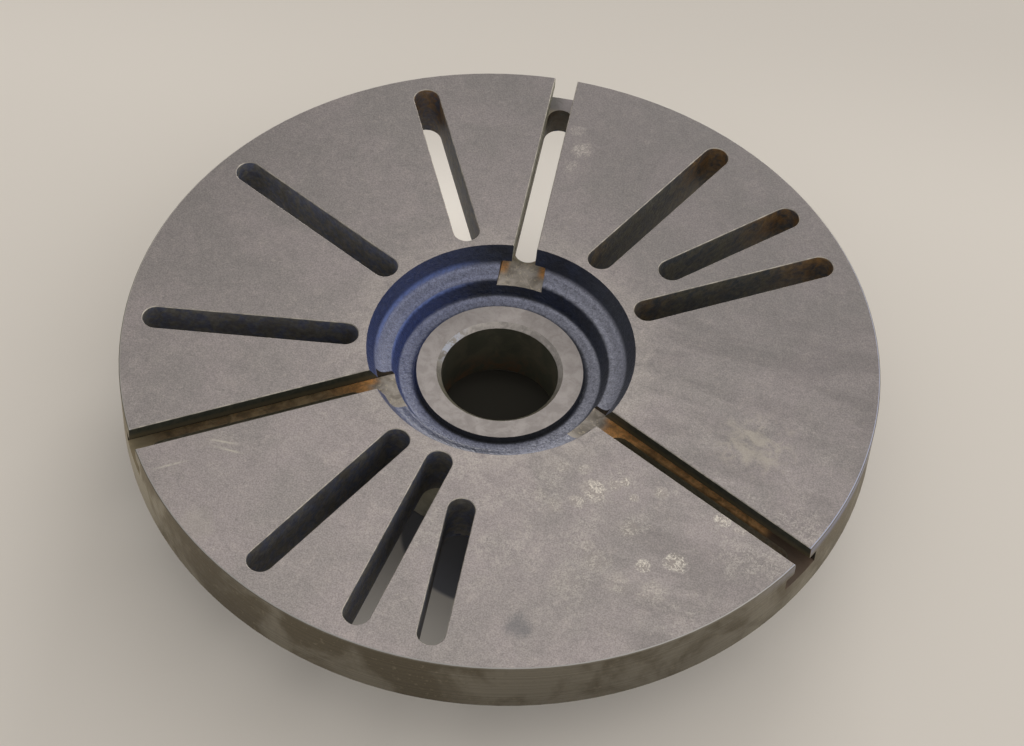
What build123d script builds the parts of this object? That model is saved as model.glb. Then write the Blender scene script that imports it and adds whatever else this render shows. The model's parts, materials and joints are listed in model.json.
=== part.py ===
from build123d import *
import math
import os

# A cast iron lathe faceplate: a thick round plate on a short hub, bored right through.
# The front is machined flat, with three T-slots that run from the centre recess to the rim
# and nine bolt slots that go right through the plate. The centre recess is left as cast,
# and holds a machined boss round the bore.
# Millimetres. The origin is the centre of the hub's seating face, +Z is the spindle axis
# towards the working face, and the first T-slot runs along +Y.

# Plate
outer_r = 200.0
plate_thickness = 35.0
face_chamfer = 0.8
back_chamfer = 1.5

# Hub behind the plate, with the socket that seats on the spindle nose
hub_r = 71.0
hub_length = 38.0
hub_root_fillet = 3.0
hub_chamfer = 1.5
socket_r = 41.28
socket_depth = 14.5
socket_chamfer = 1.0

# Tapped holes in the hub's face for the studs that lock it to the spindle.
# The gap is the wall between the socket and the holes, which puts them on a 104.8 mm circle.
stud_count = 6
stud_socket_gap = 5.37
stud_hole_r = 5.75
stud_hole_depth = 22.0
stud_start_angle = 30.0

# Bore and the machined boss round it, with heights below the working face
bore_r = 31.2
bore_mouth_run = 2.55
bore_mouth_drop = 2.7
boss_drop = 20.2
boss_draft = 1.1

# Centre recess, as cast and as wide as the hub: a bowl, a shelf and a lower ring round the boss
shelf_drop = 13.4
ring_outer_drop = 22.2
ring_inner_drop = 23.5

# Where the boss, the ring, the shelf and the bowl end, as shares of the way
# from the bore to the recess's edge, and their rounds as shares of the same width
boss_share = 0.332
ring_share = 0.555
shelf_share = 0.666
bowl_share = 0.806
bowl_fillet_share = 0.163
shelf_round_share = 0.040
ring_fillet_share = 0.060

# T-slots
t_slot_count = 3
t_first_angle = 90.0
t_mouth_width = 12.8
t_lip_depth = 8.0
t_cavity_width = 24.6
t_cavity_height = 8.4
t_through_hub_gap = 3.0
t_through_rim_gap = 9.5
t_through_draft = 4.3
lip_chamfer = 0.4

# Bolt slots, by their angle from the first T-slot, anticlockwise seen from the front.
# They were cast with draft, so they widen towards the back. The slots in the T-slots' floors
# have the same width at the top, but stay below the lips.
slot_width = 14.2
slot_draft = 3.0
slot_hub_gap = 4.5
slot_rim_gap = 10.0
short_slot_step = 25.0
long_slot_angles = [24.0, 60.0, 96.0, 150.0, 168.0, 300.0, 330.0]
short_slot_angles = [180.0, 312.0]

# Every cut runs this far past the surface that it opens
overrun = 5.0

# Heights above the seating face
back_z = hub_length
face_z = hub_length + plate_thickness
boss_z = face_z - boss_drop
shelf_z = face_z - shelf_drop

# Radii that follow from the sizes above
recess_r = hub_r
recess_width = recess_r - bore_r
bore_mouth_r = bore_r + bore_mouth_run
boss_r = bore_r + boss_share * recess_width
ring_outer_r = bore_r + ring_share * recess_width
shelf_inner_r = bore_r + shelf_share * recess_width
bowl_r = bore_r + bowl_share * recess_width
stud_circle_r = socket_r + stud_socket_gap + stud_hole_r


def casting():
    """The turned body: the half section beside the axis, filleted and turned about Z."""
    section = make_face(
        Polyline(
            (socket_r + socket_chamfer, 0),
            (socket_r, socket_chamfer),
            (socket_r, socket_depth),
            (bore_r, socket_depth),
            (bore_r, boss_z - bore_mouth_drop),
            (bore_mouth_r, boss_z),
            (boss_r, boss_z),
            (boss_r + boss_draft, face_z - ring_inner_drop),
            (ring_outer_r, face_z - ring_outer_drop),
            (shelf_inner_r, shelf_z),
            (bowl_r, shelf_z),
            (recess_r, face_z),
            (outer_r - face_chamfer, face_z),
            (outer_r, face_z - face_chamfer),
            (outer_r, back_z + back_chamfer),
            (outer_r - back_chamfer, back_z),
            (hub_r, back_z),
            (hub_r, hub_chamfer),
            (hub_r - hub_chamfer, 0),
            close=True,
        )
    )
    rounds = [
        (bowl_r, shelf_z, bowl_fillet_share * recess_width),
        (shelf_inner_r, shelf_z, shelf_round_share * recess_width),
        (ring_outer_r, face_z - ring_outer_drop, ring_fillet_share * recess_width),
        (hub_r, back_z, hub_root_fillet),
    ]
    for corner_r, corner_z, radius in rounds:
        corner = section.vertices().sort_by_distance((corner_r, corner_z))[0]
        section = fillet(corner, radius)
    return revolve(Plane.XZ * section, Axis.Z)


def through_slot(angle, inner_r, rim_gap, top_z, draft):
    """A radial slot with round ends that has its stated size at top_z and widens down to the back."""
    length = outer_r - rim_gap - inner_r
    narrowing = 2 * overrun * math.tan(math.radians(draft))
    place = Rot(0, 0, angle) * Pos(inner_r + length / 2, 0, top_z + overrun)
    outline = place * SlotOverall(length - narrowing, slot_width - narrowing)
    return extrude(outline, back_z - top_z - 2 * overrun, taper=-draft)


def slot_lip(angle, inner_r, rim_gap):
    """The small bevel round the mouth of a bolt slot, widening towards the face."""
    length = outer_r - rim_gap - inner_r
    place = Rot(0, 0, angle) * Pos(inner_r + length / 2, 0, face_z)
    mouth = place * SlotOverall(length + 2 * lip_chamfer, slot_width + 2 * lip_chamfer)
    return extrude(mouth, -lip_chamfer, taper=45)


def bolt_slots():
    """Every bolt slot with its bevelled mouth: the long ones and the short ones."""
    slot_inner_r = hub_r + slot_hub_gap
    spans = [(angle, slot_inner_r) for angle in long_slot_angles]
    spans += [(angle, slot_inner_r + short_slot_step) for angle in short_slot_angles]
    cuts = []
    for angle, inner_r in spans:
        cuts.append(through_slot(t_first_angle + angle, inner_r, slot_rim_gap, face_z, slot_draft))
        cuts.append(slot_lip(t_first_angle + angle, inner_r, slot_rim_gap))
    return cuts


def t_slot(angle):
    """One T-slot from the ring to past the rim, with the slot that opens its floor."""
    start_r = ring_outer_r
    length = outer_r + overrun - start_r
    half_mouth = t_mouth_width / 2
    half_cavity = t_cavity_width / 2
    lip_z = face_z - t_lip_depth
    floor_z = lip_z - t_cavity_height
    outline = make_face(
        Polyline(
            (-half_cavity, floor_z),
            (half_cavity, floor_z),
            (half_cavity, lip_z),
            (half_mouth, lip_z),
            (half_mouth, face_z - lip_chamfer),
            (half_mouth + lip_chamfer + overrun, face_z + overrun),
            (-half_mouth - lip_chamfer - overrun, face_z + overrun),
            (-half_mouth, face_z - lip_chamfer),
            (-half_mouth, lip_z),
            (-half_cavity, lip_z),
            close=True,
        )
    )
    groove = Rot(0, 0, angle) * Pos(start_r, 0, 0) * extrude(Plane.YZ * outline, length)
    opening = through_slot(angle, hub_r + t_through_hub_gap, t_through_rim_gap, floor_z, t_through_draft)
    return [groove, opening]


def stud_holes():
    """The blind holes in the hub's seating face, evenly spaced on their circle."""
    holes = []
    for index in range(stud_count):
        angle = stud_start_angle + index * 360.0 / stud_count
        place = Rot(0, 0, angle) * Pos(stud_circle_r, 0, -overrun)
        holes.append(extrude(place * Circle(stud_hole_r), stud_hole_depth + overrun))
    return holes


def faceplate():
    """The finished casting with every slot and hole cut."""
    cuts = bolt_slots() + stud_holes()
    for index in range(t_slot_count):
        cuts += t_slot(t_first_angle + index * 360.0 / t_slot_count)
    body = casting()
    for cut in cuts:
        body = body - cut
    return body


os.makedirs("parts", exist_ok=True)
export_step(faceplate(), "parts/faceplate.step")
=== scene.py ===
import json
import math

import bpy
import numpy as np
from mathutils import Matrix, Vector


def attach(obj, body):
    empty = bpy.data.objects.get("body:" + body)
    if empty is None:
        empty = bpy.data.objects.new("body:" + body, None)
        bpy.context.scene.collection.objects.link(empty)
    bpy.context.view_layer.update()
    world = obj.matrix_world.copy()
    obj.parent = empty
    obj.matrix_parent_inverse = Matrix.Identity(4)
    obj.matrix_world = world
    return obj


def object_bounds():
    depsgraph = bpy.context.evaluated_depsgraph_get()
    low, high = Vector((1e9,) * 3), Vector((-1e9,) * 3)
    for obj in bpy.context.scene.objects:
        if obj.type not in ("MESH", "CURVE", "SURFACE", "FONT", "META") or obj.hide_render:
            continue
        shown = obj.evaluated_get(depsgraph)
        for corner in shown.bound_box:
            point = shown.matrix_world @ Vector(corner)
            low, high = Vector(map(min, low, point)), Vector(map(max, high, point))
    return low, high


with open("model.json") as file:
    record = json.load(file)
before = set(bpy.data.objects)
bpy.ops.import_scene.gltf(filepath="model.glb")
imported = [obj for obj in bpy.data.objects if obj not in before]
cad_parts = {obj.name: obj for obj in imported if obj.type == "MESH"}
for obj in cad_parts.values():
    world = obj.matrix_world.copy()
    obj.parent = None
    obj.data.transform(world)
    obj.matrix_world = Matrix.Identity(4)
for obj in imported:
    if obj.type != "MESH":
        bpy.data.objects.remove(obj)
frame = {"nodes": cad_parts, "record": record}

cad_lo, cad_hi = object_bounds()
plate = frame["nodes"]["faceplate"]
mounts = {mount["name"]: mount for mount in frame["record"]["mounts"]}

# Lengths are in metres and angles in degrees, unless a name says otherwise.
# Angles run anticlockwise from +X, seen from the front. The first T-slot is at 90.
# A point within TOUCH of a surface counts as on it. A face whose normal's height is past LEVEL
# lies level, and one past SLANTED is a bevel.
MM = 0.001
TOUCH = 0.12 * MM
LEVEL = 0.9
SLANTED = 0.3

# Heights of the casting
FACE_Z = cad_hi.z
BACK_Z = 38 * MM
SOCKET_TOP = 14.5 * MM
STUD_HOLE_TOP = 22 * MM
BOSS_FOOT_Z = FACE_Z - 23.5 * MM
RING_Z = FACE_Z - 22.2 * MM
SHELF_Z = FACE_Z - 13.4 * MM
T_FLOOR_Z = FACE_Z - 16.4 * MM
T_LIP_Z = FACE_Z - 8.0 * MM

# Radii of the casting
OUTER_R = -cad_lo.y
HUB_R = 71 * MM
SOCKET_R = mounts["spindle_socket"]["dims"]["r_mm"] * MM
BORE_R = mounts["bore"]["dims"]["r_mm"] * MM
BORE_MOUTH_R = 33.75 * MM
BOSS_R = 44.41 * MM
BOSS_FOOT_R = 45.51 * MM
RING_OUTER_R = 53.29 * MM
SHELF_INNER_R = 57.71 * MM
BOWL_R = 63.28 * MM
RECESS_R = 71 * MM
RING_FILLET = 2.39 * MM
SHELF_ROUND = 1.59 * MM
BOWL_FILLET = 6.49 * MM
STUD_CIRCLE_R = mounts["stud_holes"]["dims"]["pcd_mm"] / 2 * MM
STUD_HOLE_R = mounts["stud_holes"]["dims"]["hole_r_mm"] * MM

# The first stud hole's angle, and the angle from each to the next
FIRST_STUD = 30
STUD_STEP = 60

# T-slots
T_HALF_MOUTH = 6.4 * MM
T_HALF_CAVITY = 12.3 * MM
T_ANGLES = (90.0, 210.0, 330.0)

# The view of the photograph, found from the outlines of the rim and the slots
CAMERA_AZIMUTH = 7.865
CAMERA_ELEVATION = 51.68
CAMERA_ROLL = 3.51
CAMERA_DISTANCE = 1521.6 * MM
CAMERA_TARGET = Vector((8.8 * MM, -16.0 * MM, FACE_Z))
CAMERA_LENS_MM = 102.38
SENSOR_MM = 36.0

# Light: the sky's levels on its dull and its bright side, where the bright side lies, and the
# cosine of the angle from there at which the sky is at its dullest. Its ceiling has a level of its
# own, and fades in between two angles from straight up.
DULL_SKY = 0.49
BRIGHT_SKY = 0.98
BRIGHT_SIDE = 15.0
DULL_SIDE_START = -0.7
CEILING_LEVEL = 0.62
SKY_FADE_START = 15.0
SKY_FADE_END = 40.0
SKY_TINT = (1.0, 0.99, 0.985, 1.0)

# The two lamps: place, width, power in watts and colour
KEY_LAMP = ((2.4, 0.7, 1.8), 1.6, 5.0, (1.0, 0.985, 0.96))
LOW_BACK_LAMP = ((0.3, 2.6, 0.7), 1.2, 46.0, (1.0, 0.99, 0.98))

# The floor: how far it reaches, and the middle of the painted shade patch in front of the hub
FLOOR_REACH = 4.0
PAINTED_SHADE_MIDDLE = (9 * MM, -67 * MM, 0)

# How much of its own colour the floor adds as painted light where the camera sees it: all round the
# plate, behind the two slots at the top, and under the bore
FLOOR_LIFT = 0.2
SLOT_LIFT = 0.5
BORE_LIFT = 0.06

# The rough skins: their least and most height over the iron, and how far their edges sink into it
LEAST_LIFT = 0.03 * MM
MOST_LIFT = 0.75 * MM
SINK = 0.06 * MM

# The recess's skin: its grid, how near it comes to the recess's edge, how wide its ends sink, and
# the middle radius that its waves are measured at
RECESS_STEP = 0.55 * MM
RECESS_STEPS_ROUND = 720
RECESS_EDGE_GAP = 0.9 * MM
RECESS_END_SINK = 2.2 * MM
RECESS_WAVE_R = 56 * MM

# The recess's lift, coarse waves and fine waves in millimetres: everywhere, and more on the ring and
# on the shelf
RECESS_LIFT = (0.07, 0.28, 0.11)
RECESS_COARSE = (0.012, 0.09, 0.028)
RECESS_FINE = (0.008, 0.07, 0.022)

# The back's skin, in millimetres: its first and last radius, its grid's step, the width of its
# sinking edge, how deep its hidden side lies, and its lift, coarse waves and fine waves
BACK_SPAN_MM = (74.8, 197.2)
BACK_STEP_MM = 1.7
BACK_EDGE_MM = 3.4
BACK_DEPTH_MM = 1.2
BACK_HEIGHTS_MM = (0.26, 0.11, 0.06)

# Dried crumbs on the machined face: x, y and reach in millimetres, and how thick they lie
CRUMBS = (
    (64, -82, 9, 1.0), (57, -90, 6, 0.7), (73, -76, 5, 0.9), (78, -73, 4, 1.0), (84, -82, 3, 1.0),
    (97, -76, 5, 0.8), (45, -95, 6, 0.5), (37, -90, 6, 0.4), (45, -70, 5, 0.4), (57, -69, 5, 0.5),
    (85, -101, 6, 0.7), (66, -116, 5, 0.5), (72, -124, 9, 0.5), (85, -135, 9, 0.4), (95, -122, 5, 1.0),
    (111, -117, 7, 1.0), (130, -86, 5, 0.9), (140, -90, 6, 0.5), (102, -137, 10, 0.4), (60, -140, 12, 0.3),
    (18, 148, 8, 0.32), (14, 134, 6, 0.22), (13, 162, 6, 0.18), (-128, -91, 9, 0.15), (-150, -112, 8, 0.1),
)

# More marks on the face, in millimetres: x, y and reach, and for a scratch its two ends
CRUMB_OVALS = ((95, -122, 3.0), (110, -117, 4.6), (114, -119, 2.6), (130, -86, 3.2))
FACE_STAIN = (41, -171, 9)
FACE_BLOOM = (140, -36, 26)
PALE_BLOTCH = (-128, -144, 13)
SCRATCHES = ((-137.8, -91.4, -116.8, -91.4), (-160.7, -117.7, -139.4, -105.4), (-133, -95, -112, -97))

# The slots as they open at the back: angles from the first T-slot, then their inner end, outer end
# and half width in millimetres
LONG_SLOTS = (24, 60, 96, 150, 168, 300, 330)
SHORT_SLOTS = (180, 312)
LONG_SLOT_AT_BACK = (73.67, 191.83, 8.93)
SHORT_SLOT_AT_BACK = (98.67, 191.83, 8.93)
T_SLOT_AT_BACK = (72.6, 191.9, 8.5)


def ink(red, green, blue):
    """A screen colour, 0 to 255, as linear light with alpha 1."""
    levels = np.array([red, green, blue]) / 255
    linear = np.where(levels <= 0.04045, levels / 12.92, ((levels + 0.055) / 1.055) ** 2.4)
    return (*[float(value) for value in linear], 1.0)


class Nodes:
    """A node tree. Each method adds nodes and returns the output socket that carries its result."""

    def __init__(self, tree):
        self.nodes = tree.nodes
        self.links = tree.links

    def feed(self, socket, value):
        """Links a socket to another node's output, or sets it to a plain value."""
        if isinstance(value, bpy.types.NodeSocket):
            self.links.new(value, socket)
        else:
            socket.default_value = value

    def split(self, vector):
        """The three numbers of a vector."""
        node = self.nodes.new("ShaderNodeSeparateXYZ")
        self.feed(node.inputs[0], vector)
        return node.outputs

    def math(self, operation, *values):
        """One Math node on numbers or sockets."""
        node = self.nodes.new("ShaderNodeMath")
        node.operation = operation
        for socket, value in zip(node.inputs, values):
            self.feed(socket, value)
        return node.outputs[0]

    def vector(self, operation, *values):
        """One Vector Math node. A length, distance or dot product comes back as a number."""
        node = self.nodes.new("ShaderNodeVectorMath")
        node.operation = operation
        for socket, value in zip(node.inputs, values):
            self.feed(socket, value)
        return node.outputs["Value" if operation in ("LENGTH", "DISTANCE", "DOT_PRODUCT") else "Vector"]

    def step(self, value, low, high, start=0.0, end=1.0):
        """A smooth step: start where value is at low or before it, end where it is at high or past it."""
        if low > high:
            low, high, start, end = high, low, end, start
        node = self.nodes.new("ShaderNodeMapRange")
        node.interpolation_type = "SMOOTHSTEP"
        for socket, number in zip(node.inputs, (value, low, high, start, end)):
            self.feed(socket, number)
        return node.outputs[0]

    def band(self, value, middle, reach):
        """1 where value is at middle, falling smoothly to 0 at reach on either side."""
        return self.step(self.math("ABSOLUTE", self.math("SUBTRACT", value, middle)), reach, 0.0)

    def both(self, *shares):
        """The product of several shares."""
        result = shares[0]
        for share in shares[1:]:
            result = self.math("MULTIPLY", result, share)
        return result

    def most(self, *shares):
        """The largest of several shares."""
        result = shares[0]
        for share in shares[1:]:
            result = self.math("MAXIMUM", result, share)
        return result


class Finish(Nodes):
    """One material, which knows each point's place on the object and its distance from the axis."""

    def __init__(self, name):
        self.material = bpy.data.materials.new(name)
        self.material.use_nodes = True
        super().__init__(self.material.node_tree)
        self.shader = self.nodes["Principled BSDF"]
        self.place = self.nodes.new("ShaderNodeTexCoord").outputs["Object"]
        self.x, self.y, self.z = self.split(self.place)
        self.flat = self.vector("MULTIPLY", self.place, (1, 1, 0))
        self.radius = self.vector("LENGTH", self.flat)

    def noise(self, size, detail=3.0, roughness=0.55, warp=0.0, stretch=(1, 1, 1), turn=0.0):
        """Smooth noise from 0 to 1 with lumps about size metres across, longer where stretch is small."""
        place = self.place
        if stretch != (1, 1, 1):
            node = self.nodes.new("ShaderNodeMapping")
            node.vector_type = "TEXTURE"
            node.inputs["Rotation"].default_value = (0, 0, math.radians(turn))
            node.inputs["Scale"].default_value = [1 / value for value in stretch]
            self.feed(node.inputs["Vector"], place)
            place = node.outputs[0]
        node = self.nodes.new("ShaderNodeTexNoise")
        self.feed(node.inputs["Vector"], place)
        node.inputs["Scale"].default_value = 1 / size
        node.inputs["Detail"].default_value = detail
        node.inputs["Roughness"].default_value = roughness
        node.inputs["Distortion"].default_value = warp
        return node.outputs["Fac"]

    def tool_marks(self, way, size, detail=2.0):
        """Noise that only changes along one number, as a turning tool leaves it: along the radius it
        makes rings on a flat face, and along z it makes lines round a side."""
        node = self.nodes.new("ShaderNodeTexNoise")
        node.noise_dimensions = "1D"
        self.feed(node.inputs["W"], way)
        node.inputs["Scale"].default_value = 1 / size
        node.inputs["Detail"].default_value = detail
        return node.outputs["Fac"]

    def lanes(self):
        """Along and across the nearest T-slot, and each T-slot's share, 1 in its own third."""
        shares = []
        along = None
        for angle in T_ANGLES:
            turn = math.radians(angle)
            reach = self.vector("DOT_PRODUCT", self.flat, (math.cos(turn), math.sin(turn), 0))
            shares.append(self.math("GREATER_THAN", reach, self.math("MULTIPLY", self.radius, 0.5)))
            along = reach if along is None else self.math("MAXIMUM", along, reach)
        square = self.math("SUBTRACT", self.math("POWER", self.radius, 2), self.math("POWER", along, 2))
        return along, self.math("SQRT", self.math("MAXIMUM", square, 0.0)), shares

    def spot(self, x, y, reach, ragged):
        """A round mark on the face: 1 at its middle and 0 past its reach, with a ragged edge."""
        away = self.vector("DISTANCE", self.flat, (x * MM, y * MM, 0))
        away = self.math("ADD", away, self.math("MULTIPLY", self.math("SUBTRACT", ragged, 0.5), reach * MM))
        return self.step(away, reach * MM, reach * 0.35 * MM)

    def oval(self, x, y, reach, ragged):
        """The ragged outline of a round mark on the face, 1 along it and 0 inside and outside."""
        away = self.vector("DISTANCE", self.flat, (x * MM, y * MM, 0))
        away = self.math("ADD", away, self.math("MULTIPLY", self.math("SUBTRACT", ragged, 0.5), 4.5 * MM))
        return self.band(away, reach * MM, 1.7 * MM)

    def scratch(self, start_x, start_y, end_x, end_y):
        """A thin straight line on the face between two points in millimetres."""
        length = math.hypot(end_x - start_x, end_y - start_y)
        way = ((end_x - start_x) / length, (end_y - start_y) / length, 0)
        start = self.vector("SUBTRACT", self.flat, (start_x * MM, start_y * MM, 0))
        along = self.vector("DOT_PRODUCT", start, way)
        aside = self.vector("DOT_PRODUCT", start, (-way[1], way[0], 0))
        middle = length / 2 * MM
        return self.both(self.band(along, middle, middle), self.band(aside, 0.0, 1.0 * MM))

    def mix(self, share, first, second):
        """The first colour where share is 0, and the second where it is 1. The node's sockets share
        their names, so they are told apart by number: 6 and 7 take the colours, and 2 gives one."""
        node = self.nodes.new("ShaderNodeMix")
        node.data_type = "RGBA"
        self.feed(node.inputs[0], share)
        self.feed(node.inputs[6], first)
        self.feed(node.inputs[7], second)
        return node.outputs[2]

    def scale(self, colour, factor):
        """A colour or vector times a number."""
        node = self.nodes.new("ShaderNodeVectorMath")
        node.operation = "SCALE"
        self.feed(node.inputs[0], colour)
        self.feed(node.inputs["Scale"], factor)
        return node.outputs[0]

    def gain(self, colour, share):
        """A colour brighter by a share of itself, or darker where the share is negative."""
        return self.scale(colour, self.math("ADD", 1.0, share))

    def bump(self, height, depth, below=None):
        """The normal of a surface raised by height, where 1 stands depth metres high."""
        node = self.nodes.new("ShaderNodeBump")
        node.inputs["Distance"].default_value = depth
        self.feed(node.inputs["Height"], height)
        if below is not None:
            self.feed(node.inputs["Normal"], below)
        return node.outputs[0]

    def done(self, colour, roughness, metallic=0.0, normal=None):
        """Feeds the shader and returns the material."""
        self.feed(self.shader.inputs["Base Color"], colour)
        self.feed(self.shader.inputs["Roughness"], roughness)
        self.feed(self.shader.inputs["Metallic"], metallic)
        if normal is not None:
            self.feed(self.shader.inputs["Normal"], normal)
        return self.material


def machined_face():
    """The turned working face: warm grey iron, mottled and smeared, with lacy crumbs, scratches, a
    stain and faint rings."""
    f = Finish("machined_face")
    broad = f.noise(45 * MM, 4, 0.6, 0.4)
    mottle = f.noise(8 * MM, 5, 0.68, 0.8)
    fleck = f.noise(2.2 * MM, 4, 0.7, 0.5)
    grain = f.noise(0.8 * MM, 2, 0.65)
    colour = f.mix(f.step(broad, 0.36, 0.64), ink(133, 126, 122), ink(142, 133, 130))
    colour = f.mix(f.both(f.step(mottle, 0.5, 0.68), 0.32), colour, ink(158, 148, 142))
    colour = f.mix(f.both(f.step(mottle, 0.48, 0.3), 0.34), colour, ink(120, 113, 110))
    colour = f.mix(f.both(f.step(fleck, 0.56, 0.7), 0.3), colour, ink(170, 161, 150))
    colour = f.mix(f.both(f.step(fleck, 0.42, 0.3), 0.35), colour, ink(104, 99, 96))
    # A halo of lighter iron round the recess, and painted light: a paler front than back
    halo = f.both(f.step(f.radius, 92 * MM, 74 * MM), f.step(mottle, 0.3, 0.6), 0.4)
    colour = f.mix(halo, colour, ink(166, 157, 149))
    colour = f.scale(colour, f.step(f.y, -190 * MM, 190 * MM, 1.34, 0.82))
    # Painted shade: darker at the back right and at the far left
    colour = f.scale(colour, f.step(f.math("ADD", f.x, f.y), 40 * MM, 230 * MM, 1.0, 0.78))
    colour = f.scale(colour, f.step(f.x, -190 * MM, -70 * MM, 0.87, 1.0))
    colour = f.scale(colour, f.step(grain, 0.25, 0.75, 0.78, 1.22))
    # Wiped smears at the right, long from side to side
    smear = f.noise(15 * MM, 3, 0.55, 0.3, stretch=(0.24, 1, 1), turn=-6)
    wiped = f.both(f.step(smear, 0.42, 0.6), f.step(f.x, 50 * MM, 100 * MM), f.step(f.y, 70 * MM, 30 * MM))
    colour = f.scale(colour, f.math("SUBTRACT", 1.03, f.both(wiped, 0.16)))
    # Crumbs: wandering lines and small grains where the crumbs lie, and thinly over the front
    ragged = f.noise(5 * MM, 3, 0.6)
    marks = f.most(*[f.both(f.spot(x, y, reach, ragged), thick) for x, y, reach, thick in CRUMBS])
    colour = f.mix(f.both(marks, 0.35), colour, ink(166, 156, 143))
    lace = f.band(f.noise(2.2 * MM, 2, 0.6, 0.8), 0.5, 0.06)
    speck = f.step(f.noise(1.3 * MM, 2, 0.6), 0.56, 0.6)
    lace = f.both(f.most(lace, speck), f.step(f.noise(3.4 * MM, 2), 0.4, 0.48))
    ovals = f.most(*[f.oval(*oval, ragged) for oval in CRUMB_OVALS])
    thin = f.both(f.step(f.noise(20 * MM, 3, 0.6), 0.48, 0.6), f.step(f.y, 30 * MM, -90 * MM))
    thin = f.both(thin, f.step(f.x, -70 * MM, 20 * MM, 0.1, 0.29))
    thin = f.both(thin, f.step(f.y, -176 * MM, -136 * MM, 0.3, 1.0))
    colour = f.mix(f.both(lace, f.most(marks, thin)), colour, ink(220, 211, 197))
    colour = f.mix(f.both(f.most(lace, speck), ovals), colour, ink(214, 206, 193))
    # Scratches, a pale blotch, a dark stain and a wide bloom
    lines = f.most(*[f.scratch(*scratch) for scratch in SCRATCHES])
    colour = f.mix(f.both(lines, f.step(fleck, 0.3, 0.5), 0.85), colour, ink(190, 182, 168))
    colour = f.mix(f.both(f.spot(*PALE_BLOTCH, ragged), 0.3), colour, ink(172, 164, 152))
    colour = f.mix(f.both(f.spot(*FACE_STAIN, ragged), 0.45), colour, ink(92, 94, 98))
    bloom = f.both(f.spot(*FACE_BLOOM, ragged), f.step(mottle, 0.4, 0.6), 0.55)
    colour = f.mix(bloom, colour, ink(172, 163, 148))
    normal = f.bump(f.tool_marks(f.radius, 0.6 * MM), 0.012 * MM)
    normal = f.bump(grain, 0.03 * MM, normal)
    normal = f.bump(mottle, 0.1 * MM, normal)
    return f.done(colour, f.step(fleck, 0.3, 0.7, 0.42, 0.58), 0.3, normal)


def turned_rim():
    """The rim's side: olive brown iron with fine turning lines round it, darker towards the back as painted
    shade.
    """
    f = Finish("turned_rim")
    lines = f.tool_marks(f.z, 0.9 * MM, 3)
    broad = f.noise(35 * MM, 4, 0.6, 0.5)
    fleck = f.noise(3 * MM, 4, 0.7)
    colour = f.mix(f.step(broad, 0.4, 0.6), ink(84, 75, 57), ink(117, 110, 95))
    colour = f.mix(f.both(f.step(fleck, 0.55, 0.7), 0.4), colour, ink(140, 130, 110))
    colour = f.mix(f.both(f.step(fleck, 0.42, 0.28), 0.5), colour, ink(70, 60, 44))
    # Painted shade: darker towards the back, lighter towards the face
    colour = f.scale(colour, f.step(f.z, BACK_Z, FACE_Z, 0.9, 1.1))
    # Painted light: paler at both sides, most of all low on the left, and a bluish highlight along the top
    # at the right
    colour = f.scale(colour, f.step(f.x, -198 * MM, -108 * MM, 2.35, 1.0))
    colour = f.scale(colour, f.step(f.x, -20 * MM, -70 * MM, 1.0, 1.18))
    colour = f.scale(colour, f.step(f.x, 10 * MM, 60 * MM, 1.0, 0.87))
    colour = f.scale(colour, f.step(f.x, 125 * MM, 196 * MM, 1.0, 1.6))
    # A painted reflection of the floor, low on the left
    painted_floor_reflection = f.both(f.step(f.x, -180 * MM, -196 * MM), f.step(f.z, FACE_Z - 8 * MM, BACK_Z + 6 * MM))
    colour = f.gain(colour, f.both(painted_floor_reflection, 0.5))
    painted_rim_highlight = f.both(f.step(f.x, 148 * MM, 192 * MM), f.step(f.z, FACE_Z - 9 * MM, FACE_Z - 2 * MM))
    colour = f.mix(f.both(painted_rim_highlight, 0.75), colour, ink(146, 148, 172))
    colour = f.scale(colour, f.step(lines, 0.34, 0.66, 0.84, 1.14))
    normal = f.bump(lines, 0.03 * MM)
    normal = f.bump(fleck, 0.05 * MM, normal)
    return f.done(colour, f.step(fleck, 0.3, 0.7, 0.44, 0.58), 0.25, normal)


def worn_edge():
    """The broken edges round the slots and the rim: worn bright with a painted highlight, and beige dusting
    in places.
    """
    f = Finish("worn_edge")
    patch = f.noise(6 * MM, 4, 0.65)
    colour = f.mix(f.step(patch, 0.4, 0.62), ink(150, 143, 134), ink(190, 182, 168))
    # Painted highlight: round the rim only the upper half of the edge is bright, and bluer on the right
    bright = f.mix(f.both(f.step(f.x, 150 * MM, 185 * MM), 0.7), ink(180, 177, 172), ink(166, 174, 206))
    rim = f.mix(f.step(f.z, FACE_Z - 0.5 * MM, FACE_Z - 0.32 * MM), ink(112, 104, 90), bright)
    colour = f.mix(f.step(f.radius, OUTER_R - 2 * MM, OUTER_R - MM), colour, rim)
    return f.done(colour, 0.38, 0.5, f.bump(patch, 0.1 * MM))


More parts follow.
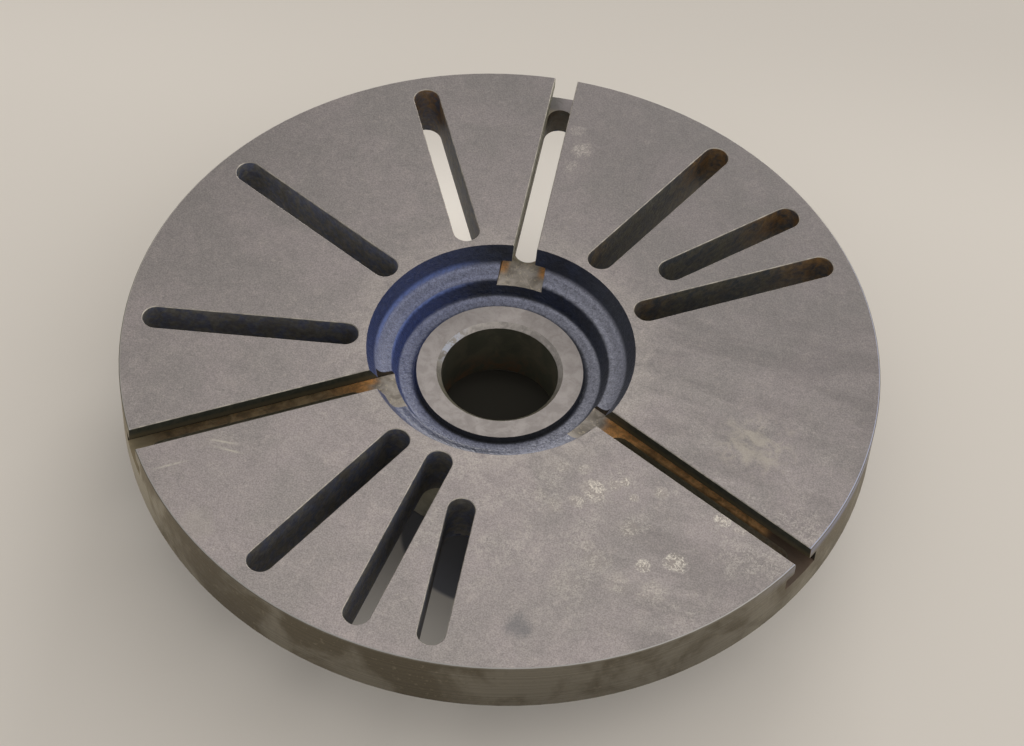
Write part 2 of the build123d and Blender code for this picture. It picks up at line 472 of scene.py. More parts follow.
def recess_paint():
    """Dark navy gloss paint over rough iron. Grey dusting and a painted sheen lie on the shelf and the
    ring, the walls are nearly black, the groove by the boss is left dark as painted shade, and painted
    light makes the left bluer, with a painted highlight along its edges."""
    f = Finish("recess_paint")
    lump = f.noise(2.2 * MM, 4, 0.6)
    pit = f.noise(0.8 * MM, 2, 0.6)
    broad = f.noise(14 * MM, 4, 0.6, 0.6)
    colour = f.mix(f.step(broad, 0.35, 0.65), ink(17, 20, 32), ink(25, 31, 50))
    # Painted light: bluer towards the left, where the walls face the light
    blue = f.mix(f.step(f.radius, 60 * MM, 57 * MM), ink(43, 54, 94), ink(55, 68, 116))
    colour = f.mix(f.both(f.step(f.x, -15 * MM, -60 * MM), 0.75), colour, blue)
    colour = f.mix(f.both(f.step(f.x, 20 * MM, 62 * MM), 0.7), colour, ink(60, 62, 68))
    groove = f.both(f.step(f.radius, 47.5 * MM, 46 * MM), f.step(f.y, -10 * MM, -32 * MM))
    colour = f.mix(groove, colour, ink(46, 47, 51))
    colour = f.scale(colour, f.step(lump, 0.3, 0.7, 0.82, 1.18))
    place = f.math("ADD", f.radius, f.math("MULTIPLY", f.math("SUBTRACT", lump, 0.5), 0.7 * MM))
    # The outer edges of the dusting and sheen lie further in at the back, and further out at the right
    outer = f.math("ADD", place, f.step(f.y, -10 * MM, 45 * MM, -0.4 * MM, 0.45 * MM))
    shelf = f.both(f.step(place, 57.0 * MM, 58.6 * MM), f.step(outer, 67.0 * MM, 65.4 * MM))
    # The ring's dusting and sheen stop short of the boss, leaving painted shade in the groove beside it
    ring = f.both(f.step(place, 45.9 * MM, 47.9 * MM), f.step(outer, 54.0 * MM, 52.7 * MM))
    dust_and_sheen = f.both(f.most(shelf, ring), f.step(broad, 0.25, 0.6, 0.82, 1.0))
    dust_and_sheen = f.both(dust_and_sheen, f.step(lump, 0.3, 0.6, 0.66, 1.0))
    # It is thinner at the front, on the shelf and on the ring's outer edge
    front_shelf = f.both(f.step(f.y, -26 * MM, -43 * MM), f.step(f.x, 34 * MM, 0.0))
    front_shelf = f.both(front_shelf, f.step(f.radius, 56 * MM, 58 * MM))
    front_ring = f.both(f.step(f.y, -37 * MM, -51 * MM), f.band(f.radius, 53.6 * MM, 2.6 * MM))
    dust_and_sheen = f.both(dust_and_sheen, f.math("SUBTRACT", 1.0, f.both(front_shelf, 0.6)))
    dust_and_sheen = f.both(dust_and_sheen, f.math("SUBTRACT", 1.0, f.both(front_ring, 0.45)))
    # Painted highlight: its grey is brighter on the crests at the back
    grey = f.mix(f.step(f.x, -50 * MM, 50 * MM), ink(117, 121, 143), ink(141, 142, 154))
    painted_crest_highlight = f.most(f.band(place, 59.8 * MM, 1.7 * MM), f.band(place, 64.6 * MM, 1.0 * MM))
    painted_crest_highlight = f.most(painted_crest_highlight, f.band(place, 51.6 * MM, 1.6 * MM))
    grey = f.gain(grey, f.both(painted_crest_highlight, f.step(f.y, -10 * MM, 30 * MM), 0.32))
    grey = f.scale(grey, f.step(pit, 0.3, 0.7, 0.74, 1.28))
    colour = f.mix(dust_and_sheen, colour, grey)
    # Painted highlight: a brighter blue along the shelf's inner edge and the bowl's edge, at the left
    painted_edge_highlight = f.most(f.band(place, 57.4 * MM, 0.9 * MM), f.band(place, 66.0 * MM, 1.3 * MM))
    painted_edge_highlight = f.both(painted_edge_highlight, f.step(f.x, -18 * MM, -44 * MM), f.step(f.y, -15 * MM, 5 * MM))
    painted_edge_highlight = f.both(painted_edge_highlight, f.step(lump, 0.3, 0.6, 0.5, 1.0), 0.75)
    colour = f.mix(painted_edge_highlight, colour, ink(98, 118, 178))
    normal = f.bump(lump, 0.4 * MM)
    normal = f.bump(pit, 0.26 * MM, normal)
    f.shader.inputs["Specular IOR Level"].default_value = 0.35
    return f.done(colour, f.step(dust_and_sheen, 0.0, 1.0, 0.28, 0.4), 0.0, normal)


def cast_back():
    """The back as cast: the same navy paint, thin over rough iron, with grime and a little rust."""
    f = Finish("cast_back")
    lump = f.noise(2.6 * MM, 4, 0.6)
    pit = f.noise(0.9 * MM, 2, 0.6)
    broad = f.noise(30 * MM, 5, 0.62, 0.6)
    scab = f.noise(7 * MM, 4, 0.68, 0.6)
    colour = f.mix(f.step(broad, 0.35, 0.65), ink(34, 42, 68), ink(48, 58, 92))
    colour = f.mix(f.both(f.step(scab, 0.52, 0.66), 0.6), colour, ink(66, 68, 76))
    rust = f.both(f.step(f.noise(18 * MM, 4, 0.65, 0.5), 0.58, 0.7), f.step(scab, 0.4, 0.6), 0.7)
    colour = f.mix(rust, colour, ink(104, 66, 42))
    colour = f.mix(f.both(f.step(f.radius, HUB_R + 14 * MM, HUB_R), 0.4), colour, ink(58, 54, 48))
    colour = f.scale(colour, f.step(lump, 0.3, 0.7, 0.8, 1.2))
    normal = f.bump(lump, 0.35 * MM)
    normal = f.bump(pit, 0.12 * MM, normal)
    return f.done(colour, f.step(scab, 0.3, 0.7, 0.32, 0.55), 0.0, normal)


def slot_wall():
    """The cored walls of the slots: blue black paint gone brown, with rust at the outer ends."""
    f = Finish("slot_wall")
    lump = f.noise(2.5 * MM, 4, 0.65)
    broad = f.noise(16 * MM, 4, 0.6, 0.5)
    # Blue at the left and at the front, and brown at the right
    turn = f.math("DEGREES", f.math("ARCTAN2", f.y, f.x))
    painted = f.most(f.step(turn, 60, 120), f.step(turn, -20, -60))
    patch = f.noise(6 * MM, 4, 0.65, 0.6)
    brown = f.mix(f.step(patch, 0.36, 0.64), ink(56, 61, 68), ink(88, 84, 71))
    blue = f.mix(f.step(patch, 0.42, 0.58), ink(84, 88, 104), ink(105, 102, 97))
    colour = f.mix(painted, brown, blue)
    colour = f.mix(f.both(f.step(broad, 0.48, 0.66), 0.5), colour, ink(82, 76, 62))
    # The slots in the T-slots' floors are paler, and rust lies at the ends of those at the right
    along, across, shares = f.lanes()
    in_lane = f.step(across, 9.8 * MM, 9.2 * MM)
    colour = f.mix(in_lane, colour, ink(124, 118, 98))
    ends = f.most(f.step(f.radius, 150 * MM, 184 * MM), f.both(f.step(f.radius, 110 * MM, 80 * MM), 0.4))
    at_right = f.both(f.step(turn, 135, 118), f.step(turn, -75, -55))
    rust = f.both(ends, f.step(patch, 0.3, 0.64), f.step(f.z, BACK_Z, FACE_Z - 8 * MM, 0.3, 0.9), at_right)
    colour = f.mix(rust, colour, ink(134, 100, 58))
    # Painted shade: the outer end of the slot in the first T-slot's floor is darkened
    painted_end_shade = f.both(shares[0], f.step(along, 168 * MM, 178 * MM), in_lane)
    colour = f.gain(colour, f.both(painted_end_shade, -0.6))
    # The long slot at the upper left is paler than the rest
    colour = f.gain(colour, f.both(f.band(turn, 150, 24), 0.35))
    colour = f.scale(colour, f.step(lump, 0.3, 0.7, 0.75, 1.25))
    return f.done(colour, 0.55, 0.0, f.bump(lump, 0.4 * MM))


def t_lip_wall():
    """The machined sides of the T-slots' mouths: painted lit in the first slot, and nearly black with
    painted shade in the second and third.
    """
    f = Finish("t_lip_wall")
    first = f.lanes()[2][0]
    fleck = f.noise(3 * MM, 4, 0.65)
    # Painted shade in the second and third slots, painted light in the first
    shaded_lip = f.mix(f.step(fleck, 0.35, 0.65), ink(47, 49, 41), ink(66, 65, 54))
    shaded_lip = f.mix(f.step(f.z, FACE_Z - 3.6 * MM, FACE_Z - 6.4 * MM), shaded_lip, ink(87, 79, 58))
    lit_lip = f.mix(f.step(fleck, 0.35, 0.65), ink(106, 104, 86), ink(136, 132, 114))
    colour = f.mix(first, shaded_lip, lit_lip)
    return f.done(colour, 0.5, 0.2, f.bump(fleck, 0.08 * MM))


def t_slot_wall():
    """Inside the T-slots, under the lips: nearly black iron with brown dirt."""
    f = Finish("t_slot_wall")
    fleck = f.noise(4 * MM, 4, 0.65)
    colour = f.mix(f.step(fleck, 0.35, 0.7), ink(40, 38, 32), ink(74, 60, 44))
    return f.done(colour, 0.6, 0.1, f.bump(fleck, 0.2 * MM))


def t_slot_floor():
    """The T-slots' floors: bare pads in the recess, rust where the floor slot starts, dirt beyond."""
    f = Finish("t_slot_floor")
    along, across, (first, second, third) = f.lanes()
    broad = f.noise(7 * MM, 4, 0.65, 0.8)
    fleck = f.noise(1.8 * MM, 4, 0.7, 0.4)
    pad = f.mix(f.step(broad, 0.35, 0.65), ink(122, 113, 101), ink(158, 149, 138))
    pad = f.mix(f.both(f.step(fleck, 0.55, 0.66), 0.6), pad, ink(196, 182, 156))
    dirt = f.mix(f.step(broad, 0.35, 0.65), ink(92, 85, 66), ink(136, 124, 98))
    dirt = f.mix(f.both(f.step(fleck, 0.54, 0.66), 0.5), dirt, ink(150, 112, 74))
    rust = f.mix(f.step(broad, 0.3, 0.7), ink(176, 124, 70), ink(226, 166, 100))
    rust = f.mix(f.both(f.step(fleck, 0.46, 0.6), 0.4), rust, ink(112, 88, 62))
    end = f.mix(second, ink(84, 70, 58), ink(150, 136, 108))
    end = f.mix(first, end, f.mix(f.step(f.x, -6 * MM, 3 * MM), ink(88, 82, 76), ink(130, 121, 119)))
    ends = f.most(
        f.both(first, f.step(along, 187 * MM, 192 * MM)),
        f.both(second, f.step(along, 178 * MM, 194 * MM)),
        f.both(third, f.step(along, 168 * MM, 175 * MM)),
    )
    colour = f.mix(f.step(along, 68 * MM, 76 * MM), pad, dirt)
    # Rust: a tongue along the second and third slots, and the outer corners of the pads
    second_tongue = f.both(second, f.step(along, 66 * MM, 73 * MM))
    second_tongue = f.both(second_tongue, f.step(along, 74 * MM, 98 * MM, 0.85, 0.15))
    third_tongue = f.both(third, f.step(along, 64 * MM, 70 * MM))
    third_tongue = f.both(third_tongue, f.step(along, 76 * MM, 96 * MM, 1.0, 0.6))
    corners = f.both(f.step(along, 62 * MM, 68 * MM), f.step(along, 76 * MM, 71 * MM))
    corners = f.both(corners, f.step(across, 7 * MM, 10.5 * MM))
    rusted = f.both(f.most(second_tongue, third_tongue, corners), f.step(broad, 0.25, 0.5, 0.45, 1.0))
    colour = f.mix(rusted, colour, rust)
    colour = f.mix(ends, colour, end)
    # Painted light: paler towards the walls, under the lips that shade the floor. Paler too along the
    # middle of the second and third slots, but dark along the inner edge of the third
    colour = f.scale(colour, f.step(across, 7 * MM, 12 * MM, 1.0, 1.55))
    second_middle = f.both(second, f.step(along, 84 * MM, 104 * MM), f.step(along, 174 * MM, 154 * MM))
    colour = f.gain(colour, f.both(second_middle, 0.35))
    inner_edge = f.both(f.step(along, 84 * MM, 96 * MM), f.step(along, 176 * MM, 168 * MM))
    inner_edge = f.both(inner_edge, f.step(across, 8.9 * MM, 7.5 * MM))
    third_gain = f.math("SUBTRACT", 0.35, f.both(inner_edge, 0.75))
    colour = f.gain(colour, f.both(third, f.step(along, 68 * MM, 76 * MM), third_gain))
    normal = f.bump(broad, 0.2 * MM)
    normal = f.bump(fleck, 0.1 * MM, normal)
    return f.done(colour, 0.6, 0.1, normal)


def machined_boss():
    """The boss round the bore, machined flat and handled bright."""
    f = Finish("machined_boss")
    mottle = f.noise(7 * MM, 4, 0.65, 0.5)
    fleck = f.noise(1.6 * MM, 4, 0.7)
    colour = f.mix(f.step(mottle, 0.35, 0.65), ink(152, 144, 139), ink(170, 162, 157))
    colour = f.mix(f.both(f.step(fleck, 0.58, 0.7), 0.4), colour, ink(182, 172, 162))
    colour = f.mix(f.both(f.step(fleck, 0.42, 0.3), 0.35), colour, ink(112, 106, 102))
    normal = f.bump(f.tool_marks(f.radius, 0.5 * MM), 0.02 * MM)
    normal = f.bump(fleck, 0.06 * MM, normal)
    return f.done(colour, f.step(mottle, 0.3, 0.7, 0.34, 0.48), 0.4, normal)


def bore_mouth():
    """The bevel at the bore's mouth, with painted light and a painted highlight."""
    f = Finish("bore_mouth")
    mottle = f.noise(5 * MM, 4, 0.7, 0.4)
    # Painted light: pale at the back and olive brown at the front
    colour = f.mix(f.step(f.y, -26 * MM, 24 * MM), ink(92, 87, 70), ink(182, 174, 166))
    colour = f.scale(colour, f.step(mottle, 0.4, 0.6, 0.78, 1.08))
    # A painted bluish highlight at the left
    bright = f.both(f.step(f.x, -20 * MM, -29 * MM), f.step(f.y, -2 * MM, 8 * MM))
    bright = f.both(bright, f.step(mottle, 0.46, 0.54), 0.6)
    colour = f.mix(bright, colour, ink(196, 204, 222))
    normal = f.bump(f.tool_marks(f.radius, 0.4 * MM), 0.02 * MM)
    return f.done(colour, f.step(mottle, 0.35, 0.65, 0.52, 0.4), 0.3, normal)


def bore_wall():
    """The bore: dark oily iron with brown rust towards its far end, and painted light across it."""
    f = Finish("bore_wall")
    broad = f.noise(12 * MM, 4, 0.65, 0.6)
    lines = f.tool_marks(f.z, 0.8 * MM)
    colour = f.mix(f.step(broad, 0.35, 0.65), ink(86, 86, 72), ink(106, 101, 85))
    # Painted light: brighter on the right and darker on the left
    colour = f.scale(colour, f.step(f.x, 6 * MM, 28 * MM, 1.05, 1.32))
    colour = f.scale(colour, f.step(f.x, -29 * MM, -8 * MM, 0.68, 1.0))
    rust = f.both(f.step(f.z, 34 * MM, 16 * MM), f.step(broad, 0.4, 0.6), 0.6)
    colour = f.mix(rust, colour, ink(116, 78, 50))
    return f.done(colour, 0.42, 0.4, f.bump(lines, 0.03 * MM))


def turned_hub(name, dark, pale):
    """Turned iron behind the plate: the hub's side, its seating face and the socket."""
    f = Finish(name)
    broad = f.noise(16 * MM, 4, 0.65, 0.5)
    fleck = f.noise(2.5 * MM, 4, 0.7)
    colour = f.mix(f.step(broad, 0.35, 0.65), dark, pale)
    colour = f.mix(f.both(f.step(fleck, 0.44, 0.3), 0.5), colour, ink(84, 62, 42))
    normal = f.bump(f.tool_marks(f.radius, 0.7 * MM), 0.02 * MM)
    normal = f.bump(f.tool_marks(f.z, 0.9 * MM), 0.02 * MM, normal)
    normal = f.bump(fleck, 0.06 * MM, normal)
    return f.done(colour, f.step(fleck, 0.3, 0.7, 0.34, 0.5), 0.5, normal)


def zones():
    """The finish of each face of the casting, from where the face lies and which way it looks."""
    mesh = plate.data
    count = len(mesh.polygons)
    centre = np.empty(count * 3)
    normal = np.empty(count * 3)
    mesh.polygons.foreach_get("center", centre)
    mesh.polygons.foreach_get("normal", normal)
    x, y, z = centre.reshape(-1, 3).T
    across_x, across_y, up = normal.reshape(-1, 3).T
    radius = np.hypot(x, y)
    outward = (across_x * x + across_y * y) / np.maximum(radius, TOUCH)
    # The distance from the nearest T-slot's middle line, and from the nearest stud hole's middle
    side = np.full(count, OUTER_R)
    for angle in T_ANGLES:
        along_x, along_y = math.cos(math.radians(angle)), math.sin(math.radians(angle))
        ahead = x * along_x + y * along_y > 0
        side = np.where(ahead, np.minimum(side, np.abs(x * along_y - y * along_x)), side)
    turn = np.degrees(np.arctan2(y, x)) - FIRST_STUD
    stud = np.radians(FIRST_STUD + STUD_STEP * np.round(turn / STUD_STEP))
    from_stud = np.hypot(x - STUD_CIRCLE_R * np.cos(stud), y - STUD_CIRCLE_R * np.sin(stud))

    # The slots' walls are whatever no other zone takes
    names = np.full(count, "slot_wall", dtype=object)
    names[(z < BACK_Z + 2 * MM) & (up < -SLANTED) & (radius > HUB_R)] = "cast_back"
    on_hub = (z < BACK_Z - TOUCH) & (radius > SOCKET_R + 3 * MM) & (radius < HUB_R + 3 * MM)
    names[on_hub & (outward > SLANTED)] = "hub_side"
    names[(z < TOUCH) & (up < -LEVEL)] = "seat"
    names[(radius < SOCKET_R + 2 * MM) & (z < SOCKET_TOP + TOUCH)] = "seat"
    names[(from_stud < STUD_HOLE_R + TOUCH) & (z < STUD_HOLE_TOP + TOUCH) & (z > TOUCH)] = "bore_wall"

    recess = (radius < RECESS_R + TOUCH) & (z > BOSS_FOOT_Z - TOUCH) & (radius > BORE_R + TOUCH)
    bevel = (up > SLANTED) & (up < LEVEL)
    names[recess] = "recess_paint"
    names[recess & (radius < BOSS_R + TOUCH) & (up > LEVEL)] = "machined_boss"
    names[recess & (radius < BORE_MOUTH_R) & bevel] = "bore_mouth"
    names[radius < BORE_R + TOUCH] = "bore_wall"

    in_lane = (side < T_HALF_CAVITY + TOUCH) & (radius > RING_OUTER_R) & (z > T_FLOOR_Z - TOUCH)
    names[in_lane & (up > 0.99) & (z < T_FLOOR_Z + TOUCH)] = "t_slot_floor"
    names[in_lane & (up < -0.99) & (z > T_LIP_Z - TOUCH)] = "t_slot_wall"
    upright = in_lane & (np.abs(up) < 0.01) & (radius < OUTER_R - MM)
    names[upright & (side > T_HALF_CAVITY - TOUCH) & (z < T_LIP_Z)] = "t_slot_wall"
    names[upright & (side < T_HALF_MOUTH + TOUCH) & (z > T_LIP_Z)] = "t_lip_wall"

    names[(z > FACE_Z - TOUCH) & (up > LEVEL) & (radius > RECESS_R)] = "machined_face"
    names[(z > FACE_Z - MM) & bevel & (radius > RECESS_R + TOUCH)] = "worn_edge"
    names[(radius > OUTER_R - 0.3 * MM) & (outward > LEVEL)] = "turned_rim"
    return names


def dress():
    """Gives each zone of the casting its finish, and returns those of the recess and of the back."""
    finishes = [
        machined_face(),
        turned_rim(),
        worn_edge(),
        slot_wall(),
        t_lip_wall(),
        t_slot_wall(),
        t_slot_floor(),
        recess_paint(),
        machined_boss(),
        bore_mouth(),
        bore_wall(),
        cast_back(),
        turned_hub("hub_side", ink(170, 164, 143), ink(194, 188, 167)),
        turned_hub("seat", ink(128, 122, 116), ink(150, 144, 138)),
    ]
    order = [finish.name for finish in finishes]
    plate.data.materials.clear()
    for finish in finishes:
        plate.data.materials.append(finish)
    index = np.array([order.index(name) for name in zones()], dtype=np.int32)
    plate.data.polygons.foreach_set("material_index", index)
    return finishes[order.index("recess_paint")], finishes[order.index("cast_back")]


def rounded(corners, fillets, step):
    """A profile through corners, cut to even steps. Each corner but the first and the last becomes
    an arc of its fillet's radius."""
    arc_points = 9
    points = [corners[0]]
    for before, corner, after, radius in zip(corners, corners[1:], corners[2:], fillets):
        before, corner, after = map(np.array, (before, corner, after))
        to_before = (before - corner) / np.linalg.norm(before - corner)
        to_after = (after - corner) / np.linalg.norm(after - corner)
        half = np.arccos(np.clip(to_before @ to_after, -1, 1)) / 2
        inward = (to_before + to_after) / np.linalg.norm(to_before + to_after)
        middle = corner + inward * radius / np.sin(half)
        start = corner + to_before * radius / np.tan(half) - middle
        end = corner + to_after * radius / np.tan(half) - middle
        share = np.linspace(0, 1, arc_points)[:, None]
        sweep = np.pi - 2 * half
        arc = (np.sin((1 - share) * sweep) * start + np.sin(share * sweep) * end) / np.sin(sweep)
        points.extend(middle + arc)
    points.append(corners[-1])
    points = np.array(points)
    length = np.concatenate([[0], np.cumsum(np.linalg.norm(np.diff(points, axis=0), axis=1))])
    even = np.arange(0, length[-1], step)
    return np.stack([np.interp(even, length, points[:, 0]), np.interp(even, length, points[:, 1])], 1)


def smooth(value, low, high):
    """0 below low, 1 above high, and a smooth rise between."""
    share = np.clip((value - low) / (high - low), 0, 1)
    return share * share * (3 - 2 * share)


def sunk(height, share):
    """The height where share is 1, and a little inside the iron where it is 0."""
    return height * share - SINK * (1 - share)


def waves(turn, run, sizes, count, radius, seed):
    """Cast roughness: the sum of cosine waves, each with a whole number of turns round the axis,
    a wavelength between the two sizes, a random direction and a random start."""
    random = np.random.default_rng(seed)
    size = np.exp(random.uniform(np.log(sizes[0]), np.log(sizes[1]), count))
    lean = random.uniform(0, np.pi, count)
    start = random.uniform(0, 2 * np.pi, count)
    total = np.zeros(np.broadcast(turn, run).shape)
    for wave, tilt, phase in zip(size, lean, start):
        round_axis = np.round(2 * np.pi * radius / wave * np.cos(tilt))
        along_run = 2 * np.pi / wave * np.sin(tilt)
        total += np.cos(round_axis * turn + along_run * run + phase)
    return total / np.sqrt(count / 2)


def mesh_piece(name, vertices, faces, material):
    """A new smooth mesh piece of the casting from its points and faces."""
    mesh = bpy.data.meshes.new(name)
    mesh.from_pydata(vertices.tolist(), [], faces.tolist())
    mesh.materials.append(material)
    mesh.shade_smooth()
    piece = bpy.data.objects.new(name, mesh)
    bpy.context.scene.collection.objects.link(piece)
    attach(piece, "root")
    return piece


def recess_skin(material):
    """The recess's rough cast surface: a closed profile turned once round the axis.

    The profile follows the casting's ring, wall, shelf and bowl, and is lifted along its own
    normal by waves of casting roughness. It comes back inside the iron. Near both ends and beside
    the T-slots the lift turns to a sink, and in the T-slots the skin stays below their floors."""
    slope = (FACE_Z - SHELF_Z) / (RECESS_R - BOWL_R)
    corners = [
        (BOSS_FOOT_R + 0.2 * MM, BOSS_FOOT_Z),
        (RING_OUTER_R, RING_Z),
        (SHELF_INNER_R, SHELF_Z),
        (BOWL_R, SHELF_Z),
        (RECESS_R - RECESS_EDGE_GAP, FACE_Z - RECESS_EDGE_GAP * slope),
    ]
    shown = rounded(corners, (RING_FILLET, SHELF_ROUND, BOWL_FILLET), RECESS_STEP)
    along = np.gradient(shown, axis=0)
    along /= np.linalg.norm(along, axis=1)[:, None]
    lift_way = np.stack([-along[:, 1], along[:, 0]], 1)
    run = np.arange(len(shown)) * RECESS_STEP
    to_end = np.minimum(run, run[-1] - run)
    # The way back through the iron, from the recess's edge down and in to the boss's foot
    hidden = np.array([
        (RECESS_R + 0.1 * MM, FACE_Z - 1.8 * MM),
        (RECESS_R + 0.2 * MM, SHELF_Z),
        (RECESS_R + 0.2 * MM, BACK_Z + 12 * MM),
        (BOWL_R, BACK_Z + 9 * MM),
        (BOSS_FOOT_R, BACK_Z + 9 * MM),
        (BOSS_FOOT_R - 0.5 * MM, BOSS_FOOT_Z - 0.8 * MM),
    ])
    turn = (np.arange(RECESS_STEPS_ROUND) * 2 * np.pi / RECESS_STEPS_ROUND)[:, None]
    ring = smooth(-shown[:, 0], -54.2 * MM, -52.6 * MM)[None, :]
    shelf = smooth(shown[:, 0], 56.8 * MM, 58.6 * MM) * smooth(-shown[:, 0], -66.5 * MM, -64 * MM)
    shelf = shelf[None, :]
    lift, coarse_share, fine_share = [
        (anywhere + on_ring * ring + on_shelf * shelf) * MM
        for anywhere, on_ring, on_shelf in (RECESS_LIFT, RECESS_COARSE, RECESS_FINE)
    ]
    coarse = waves(turn, run[None, :], (2.6 * MM, 9 * MM), 140, RECESS_WAVE_R, 4)
    fine = waves(turn, run[None, :], (1.5 * MM, 2.6 * MM), 120, RECESS_WAVE_R, 9)
    height = np.clip(lift + coarse * coarse_share + fine * fine_share, LEAST_LIFT, MOST_LIFT)
    # How far each point is from the nearest T-slot's middle line, and where it sinks beside one
    radius = shown[None, :, 0] + 0 * turn
    beside = np.full(radius.shape, OUTER_R)
    for angle in T_ANGLES:
        offset = turn - math.radians(angle)
        sideways = np.abs(radius * np.sin(offset))
        beside = np.where(np.cos(offset) > 0, np.minimum(beside, sideways), beside)
    below_floors = T_FLOOR_Z - 1.4 * MM
    above_floor = smooth(shown[:, 1], T_FLOOR_Z - 3 * MM, below_floors)[None, :]
    edge = smooth(beside, T_HALF_CAVITY + 1.1 * MM, T_HALF_CAVITY + 2.0 * MM)
    height = sunk(height, 1 - above_floor * (1 - edge))
    height = sunk(height, smooth(to_end, 0, RECESS_END_SINK)[None, :])
    out = radius + height * lift_way[None, :, 0]
    up = shown[None, :, 1] + height * lift_way[None, :, 1]
    out = np.concatenate([out, hidden[None, :, 0] + 0 * turn], 1)
    up = np.concatenate([up, hidden[None, :, 1] + 0 * turn], 1)
    beside = np.concatenate([beside, np.repeat(beside[:, -1:], len(hidden), 1)], 1)
    up = np.where(beside < T_HALF_CAVITY + 0.6 * MM, np.minimum(up, below_floors), up)
    points = np.stack([out * np.cos(turn), out * np.sin(turn), up], -1).reshape(-1, 3)
    return mesh_piece("recess_skin", points, torus_faces(*out.shape), material)


def slots_at_back():
    """The twelve slots at the back, by angle: where each lies, its two ends and its half width. The
    first comes again after the last, one turn on."""
    slots = [(angle - T_ANGLES[0], T_SLOT_AT_BACK) for angle in T_ANGLES]
    slots += [(angle, LONG_SLOT_AT_BACK) for angle in LONG_SLOTS]
    slots += [(angle, SHORT_SLOT_AT_BACK) for angle in SHORT_SLOTS]
    slots.sort()
    first_angle, first_slot = slots[0]
    return slots + [(first_angle + 360, first_slot)]


def slot_angle(radius, slot):
    """How far a slot spreads to each side of its middle line at each radius, as an angle: its half
    width, or that of its round ends, and a gap."""
    gap = 0.5 * MM
    inner, outer, half = (value * MM for value in slot)
    beyond = np.maximum(np.maximum(inner + half - radius, radius - outer + half), 0)
    reach = np.sqrt(np.maximum(half ** 2 - beyond ** 2, 0))
    return np.arcsin((reach + gap) / radius)


def back_skin(material):
    """The back's rough cast surface: one thin closed sheet between each two neighbouring slots.

    A sheet is a grid over the radius and over the share of the way from one slot to the next. Its
    shown side is lowered by plane waves of casting roughness, and sinks into the iron at all four
    edges. Its hidden side is the same grid, flat and inside the iron."""
    slots = slots_at_back()
    radius = np.arange(*BACK_SPAN_MM, BACK_STEP_MM)[:, None] * MM
    least_columns = 5
    lift, coarse_share, fine_share = BACK_HEIGHTS_MM
    vertices = []
    faces = []
    for (angle, slot), (next_angle, next_slot) in zip(slots, slots[1:]):
        first = math.radians(angle + T_ANGLES[0]) + slot_angle(radius, slot)
        last = math.radians(next_angle + T_ANGLES[0]) - slot_angle(radius, next_slot)
        columns = int((last - first).mean() * radius.mean() / (BACK_STEP_MM * MM))
        turn = first + np.linspace(0, 1, max(least_columns, columns))[None, :] * (last - first)
        x, y = radius * np.cos(turn), radius * np.sin(turn)
        coarse = waves(x / HUB_R, y, (4 * MM, 11 * MM), 90, HUB_R, 5)
        fine = waves(x / HUB_R, y, (3.4 * MM, 5 * MM), 60, HUB_R, 6)
        to_side = np.minimum(turn - first, last - turn) * radius
        to_end = np.minimum(radius - radius[0], radius[-1] - radius)
        edge = smooth(np.minimum(to_side, to_end), 0, BACK_EDGE_MM * MM)
        height = (lift + coarse_share * coarse + fine_share * fine) * MM
        height = sunk(np.clip(height, LEAST_LIFT, MOST_LIFT), edge)
        shown = np.stack([x, y, BACK_Z - height], -1)
        hidden = np.stack([x, y, np.full(x.shape, BACK_Z + BACK_DEPTH_MM * MM)], -1)
        faces.append(sheet_faces(*x.shape) + sum(len(part) for part in vertices))
        vertices.append(np.concatenate([shown, hidden]).reshape(-1, 3))
    return mesh_piece("back_skin", np.concatenate(vertices), np.concatenate(faces), material)


def sheet_faces(rows, columns):
    """Four-sided faces of a thin closed sheet: a shown grid that looks down, the hidden grid above it
    and the four edges between them. The hidden grid's points follow the shown grid's."""
    count = rows * columns
    index = np.arange(count).reshape(rows, columns)
    corners = index[:-1, :-1], index[:-1, 1:], index[1:, 1:], index[1:, :-1]
    shown = np.stack(corners, -1).reshape(-1, 4)
    hidden = shown[:, ::-1] + count
    rim = np.concatenate([index[0, ::-1], index[1:, 0], index[-1, 1:], index[-2:0:-1, -1]])
    after = np.roll(rim, -1)
    edges = np.stack([rim, after, after + count, rim + count], -1)
    return np.concatenate([shown, hidden, edges])


def torus_faces(rows, columns):
    """Four-sided faces of a grid whose rows and columns both close on themselves, facing outwards."""
    row = np.arange(rows)[:, None]
    column = np.arange(columns)[None, :]
    next_row = (row + 1) % rows
    next_column = (column + 1) % columns
    corners = (row * columns + column, row * columns + next_column,
               next_row * columns + next_column, next_row * columns + column)
    return np.stack(corners, -1).reshape(-1, 4)


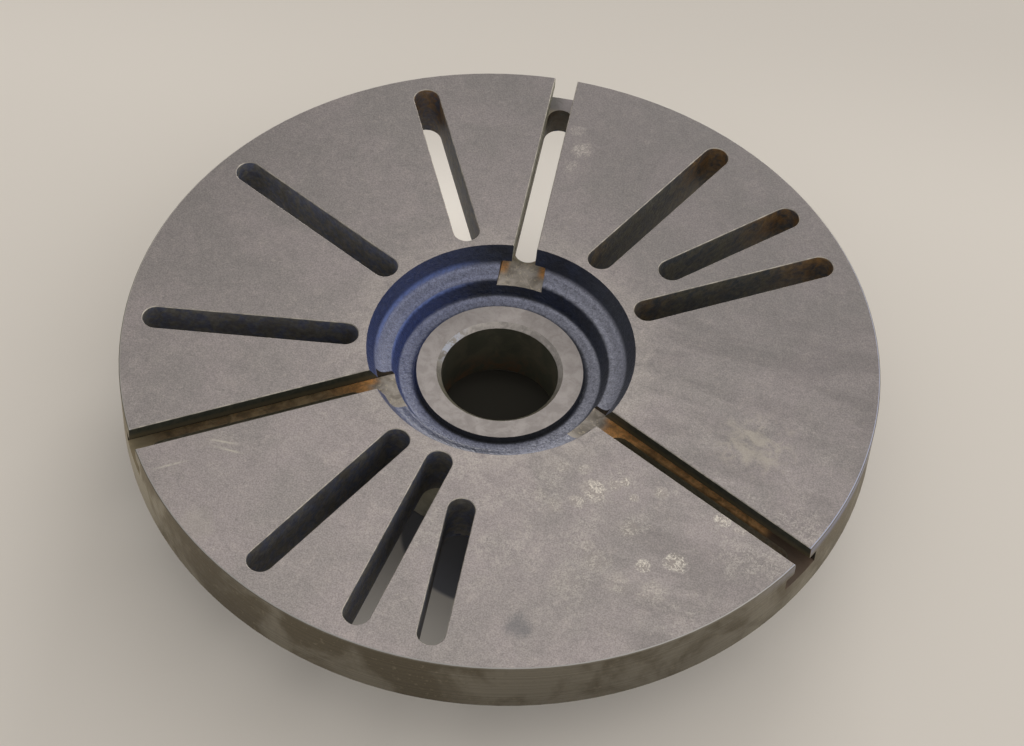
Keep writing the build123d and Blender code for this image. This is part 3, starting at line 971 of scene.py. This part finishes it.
def floor():
    """A plain pale floor that the hub stands on, with painted deep shade under the hub and in front of it,
    and painted light where the camera sees it.
    """
    mesh = bpy.data.meshes.new("floor")
    signs = ((-1, -1), (1, -1), (1, 1), (-1, 1))
    mesh.from_pydata([(x * FLOOR_REACH, y * FLOOR_REACH, 0) for x, y in signs], [], [(0, 1, 2, 3)])
    piece = bpy.data.objects.new("floor", mesh)
    bpy.context.scene.collection.objects.link(piece)
    f = Finish("pale_floor")
    # Painted shade: a dark patch in front of the hub, and a darker disc under the hub
    from_patch = f.vector("DISTANCE", f.flat, PAINTED_SHADE_MIDDLE)
    colour = f.mix(f.step(from_patch, 48.6 * MM, 45.8 * MM), ink(198, 191, 181), ink(108, 108, 112))
    under_hub = f.step(f.radius, HUB_R - 6 * MM, HUB_R - 12 * MM)
    colour = f.mix(under_hub, colour, ink(64, 61, 53))
    ray = f.nodes.new("ShaderNodeLightPath").outputs
    seen = f.most(ray["Is Camera Ray"], ray["Is Glossy Ray"], ray["Is Transmission Ray"])
    # Painted light where the camera sees the floor: behind the two top slots, round the plate and under the
    # bore
    behind = f.both(f.step(f.y, 60 * MM, 110 * MM), f.step(f.radius, 240 * MM, 155 * MM), SLOT_LIFT)
    behind = f.both(behind, f.step(f.x, -130 * MM, -100 * MM), f.step(f.x, 50 * MM, 22 * MM))
    behind = f.both(behind, f.step(f.x, -16 * MM, -44 * MM, 1.0, 1.45))
    around = f.step(f.radius, 82 * MM, 160 * MM, 0.0, FLOOR_LIFT)
    around = f.both(around, f.step(f.y, 400 * MM, 200 * MM, 0.05, 1.0))
    under_bore = f.both(f.step(f.radius, 60 * MM, 50 * MM), f.step(f.y, 2 * MM, 30 * MM), BORE_LIFT)
    lift = f.math("ADD", f.math("ADD", around, under_bore), behind)
    f.feed(f.shader.inputs["Emission Color"], colour)
    f.feed(f.shader.inputs["Emission Strength"], f.both(seen, lift))
    mesh.materials.append(f.done(colour, 0.85))


def area_lamp(name, place, size, power, colour):
    """A square soft lamp that looks at the object's middle."""
    data = bpy.data.lights.new(name, "AREA")
    data.size = size
    data.energy = power
    data.color = colour
    lamp = bpy.data.objects.new(name, data)
    lamp.location = place
    lamp.rotation_mode = "QUATERNION"
    lamp.rotation_quaternion = (Vector(place) - Vector((0, 0, BACK_Z))).to_track_quat("Z", "Y")
    bpy.context.scene.collection.objects.link(lamp)


def light():
    """A soft sky, brighter on one side, with a duller ceiling, and two broad lamps."""
    world = bpy.data.worlds.new("sky")
    world.use_nodes = True
    sky = Nodes(world.node_tree)
    way = sky.nodes.new("ShaderNodeTexCoord").outputs["Generated"]
    bright_way = math.radians(BRIGHT_SIDE)
    side = sky.vector("DOT_PRODUCT", way, (math.cos(bright_way), math.sin(bright_way), 0))
    wall = sky.step(side, DULL_SIDE_START, 1.0, DULL_SKY, BRIGHT_SKY)
    height = sky.split(way)["Z"]
    low, high = [math.cos(math.radians(angle)) for angle in (SKY_FADE_END, SKY_FADE_START)]
    background = sky.nodes["Background"]
    sky.feed(background.inputs["Strength"], sky.step(height, low, high, wall, CEILING_LEVEL))
    sky.feed(background.inputs["Color"], SKY_TINT)
    bpy.context.scene.world = world
    area_lamp("key", *KEY_LAMP)
    area_lamp("low_back", *LOW_BACK_LAMP)


def camera():
    """The camera at the photograph's viewing angle: round the object, up, back and rolled."""
    turn, rise, roll = map(math.radians, (CAMERA_AZIMUTH, CAMERA_ELEVATION, CAMERA_ROLL))
    back = Vector((math.sin(turn) * math.cos(rise), -math.cos(turn) * math.cos(rise), math.sin(rise)))
    level = Vector((math.cos(turn), math.sin(turn), 0))
    above = back.cross(level)
    right = level * math.cos(roll) + above * math.sin(roll)
    up = above * math.cos(roll) - level * math.sin(roll)
    data = bpy.data.cameras.new("camera")
    data.lens = CAMERA_LENS_MM
    data.sensor_width = SENSOR_MM
    piece = bpy.data.objects.new("camera", data)
    turned = Matrix((right, up, back)).transposed().to_4x4()
    turned.translation = CAMERA_TARGET + back * CAMERA_DISTANCE
    piece.matrix_world = turned
    bpy.context.scene.collection.objects.link(piece)
    bpy.context.scene.camera = piece


recess_finish, back_finish = dress()
recess_skin(recess_finish)
back_skin(back_finish)
floor()
light()
camera()
bpy.context.scene.view_settings.view_transform = "Standard"
